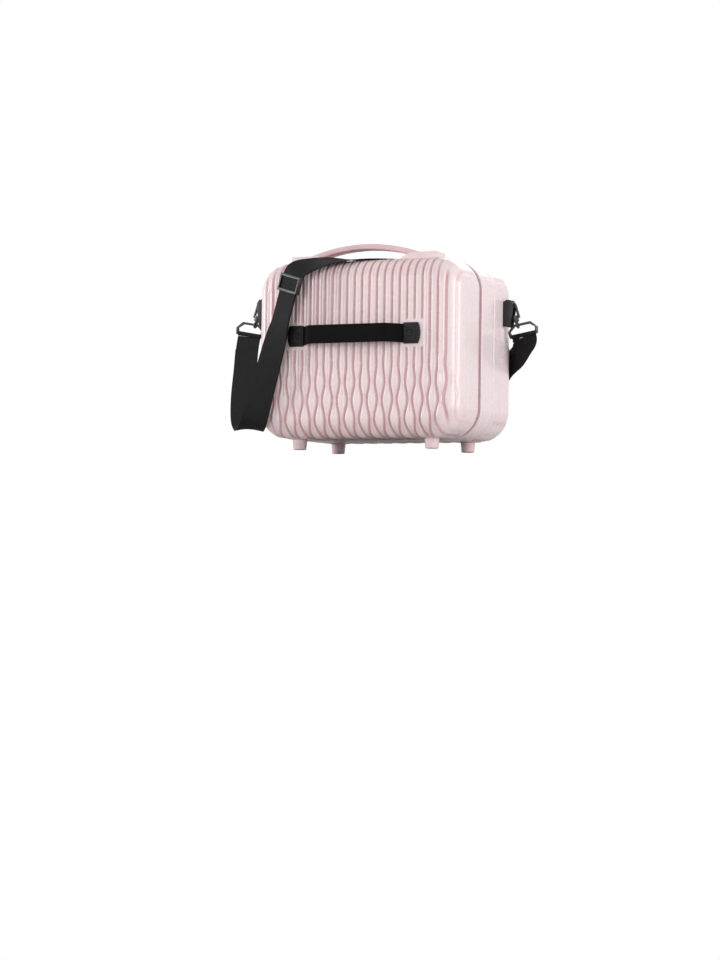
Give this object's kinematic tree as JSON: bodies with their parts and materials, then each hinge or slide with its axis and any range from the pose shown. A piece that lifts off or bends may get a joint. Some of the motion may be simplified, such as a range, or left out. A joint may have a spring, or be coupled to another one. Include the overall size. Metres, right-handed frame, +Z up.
{
  "type": "vanity train case",
  "caption": "Hard ribbed clamshell vanity case with zip, carrying arch, trolley band and a webbing shoulder strap on snap hooks.",
  "frame": {"origin": "on the ground plane of the four feet, at their middle", "axes": "+Z up, +Y towards the back, which carries the trolley band, +X along the width, towards the lug on the back shell"},
  "size_m": [0.4386, 0.257, 0.2995],
  "materials": {
    "pink_shell": "glossy pale pink, faint pearl",
    "pink_plastic": "satin pale pink",
    "pink_grip": "soft satin pink",
    "pink_tape": "woven tape",
    "pink_teeth": "satin nylon",
    "lining": "plain woven lining",
    "steel": "zinc plated",
    "dark_rivet": "dark satin",
    "zip_metal": "polished",
    "elastic": "ribbed elastic",
    "black_plastic": "satin moulded",
    "black_metal": "black coated",
    "webbing": "smooth woven webbing",
    "inner_elastic": "soft elastic",
    "mesh": "open mesh"
  },
  "bodies": {
    "back": {"back_shell": "pink_shell", "back_lining": "lining", "back_zip_tape": "pink_tape", "back_zip_teeth": "pink_teeth", "back_hinge_tape": "pink_tape", "back_feet": "pink_plastic", "back_foot_screws": "steel", "handle_grip": "pink_grip", "handle_pod_left": "pink_plastic", "handle_pod_right": "pink_plastic", "handle_screws": "steel", "handle_backing_plates": "steel", "trolley_band": "elastic", "band_plate_left": "black_plastic", "band_plate_right": "black_plastic", "band_rivets": "dark_rivet", "band_washers": "steel", "lug_left": "black_plastic", "lug_rivets_left": "steel", "ring_left": "black_metal", "swivel_left": "black_metal", "strap_back": "webbing", "strap_return": "webbing", "packing_strap": "inner_elastic", "buckle": "black_plastic", "brush_loops": "inner_elastic", "zip_end_tabs": "pink_tape"},
    "lid": {"lid_shell": "pink_shell", "lid_lining": "lining", "lid_zip_tape": "pink_tape", "lid_zip_teeth": "pink_teeth", "lid_hinge_tape": "pink_tape", "lid_feet": "pink_plastic", "lid_foot_screws": "steel", "lug_right": "black_plastic", "lug_rivets_right": "steel", "ring_right": "black_metal", "swivel_right": "black_metal", "strap_front": "webbing", "mesh_pocket": "mesh", "pocket_binding": "inner_elastic"},
    "slider_a": {"zip_slider_a": "zip_metal"},
    "pull_a": {"zip_pull_a": "zip_metal"},
    "slider_b": {"zip_slider_b": "zip_metal"},
    "pull_b": {"zip_pull_b": "zip_metal"},
    "adjuster": {"strap_adjuster": "black_plastic"},
    "hook_left": {"hook_left": "black_metal"},
    "gate_left": {"gate_left": "black_metal"},
    "hook_right": {"hook_right": "black_metal"},
    "gate_right": {"gate_right": "black_metal"}
  },
  "joints": [
    {"name": "lid_hinge", "type": "hinge", "parent": "back", "child": "lid", "pos_m": [0, 0.023, 0.015], "axis": [1, 0, 0], "range_deg": [0, 110]},
    {"name": "slider_a_run", "type": "slide", "parent": "back", "child": "slider_a", "axis": [1, 0, 0], "range_m": [0, 0.04]},
    {"name": "slider_b_run", "type": "slide", "parent": "back", "child": "slider_b", "axis": [-1, 0, 0], "range_m": [0, 0.04]},
    {"name": "pull_a_lift", "type": "hinge", "parent": "slider_a", "child": "pull_a", "pos_m": [0.0706, 0.023, 0.2745], "axis": [0, -1, 0], "range_deg": [0, 110]},
    {"name": "pull_b_lift", "type": "hinge", "parent": "slider_b", "child": "pull_b", "pos_m": [0.0494, 0.023, 0.2745], "axis": [0, 1, 0], "range_deg": [0, 110]},
    {"name": "adjuster_slide", "type": "slide", "parent": "back", "child": "adjuster", "axis": [0.268, 0, -0.9634], "range_m": [0, 0.022]},
    {"name": "hook_left_swivel", "type": "hinge", "parent": "back", "child": "hook_left", "pos_m": [0.18425, 0.062, 0.1926], "axis": [-0.309, 0, 0.9511], "range_deg": [-8, 8]},
    {"name": "gate_left_press", "type": "hinge", "parent": "hook_left", "child": "gate_left", "pos_m": [0.17692, 0.062, 0.19653], "axis": [0, 1, 0], "range_deg": [0, 20], "stiffness_Nm_per_rad": 0.05, "springref_deg": -17.19},
    {"name": "hook_right_swivel", "type": "hinge", "parent": "lid", "child": "hook_right", "pos_m": [-0.18425, -0.062, 0.1926], "axis": [0.309, 0, 0.9511], "range_deg": [-8, 8]},
    {"name": "gate_right_press", "type": "hinge", "parent": "hook_right", "child": "gate_right", "pos_m": [-0.17692, -0.062, 0.19653], "axis": [0, -1, 0], "range_deg": [0, 20], "stiffness_Nm_per_rad": 0.05, "springref_deg": -17.19}
  ]
}
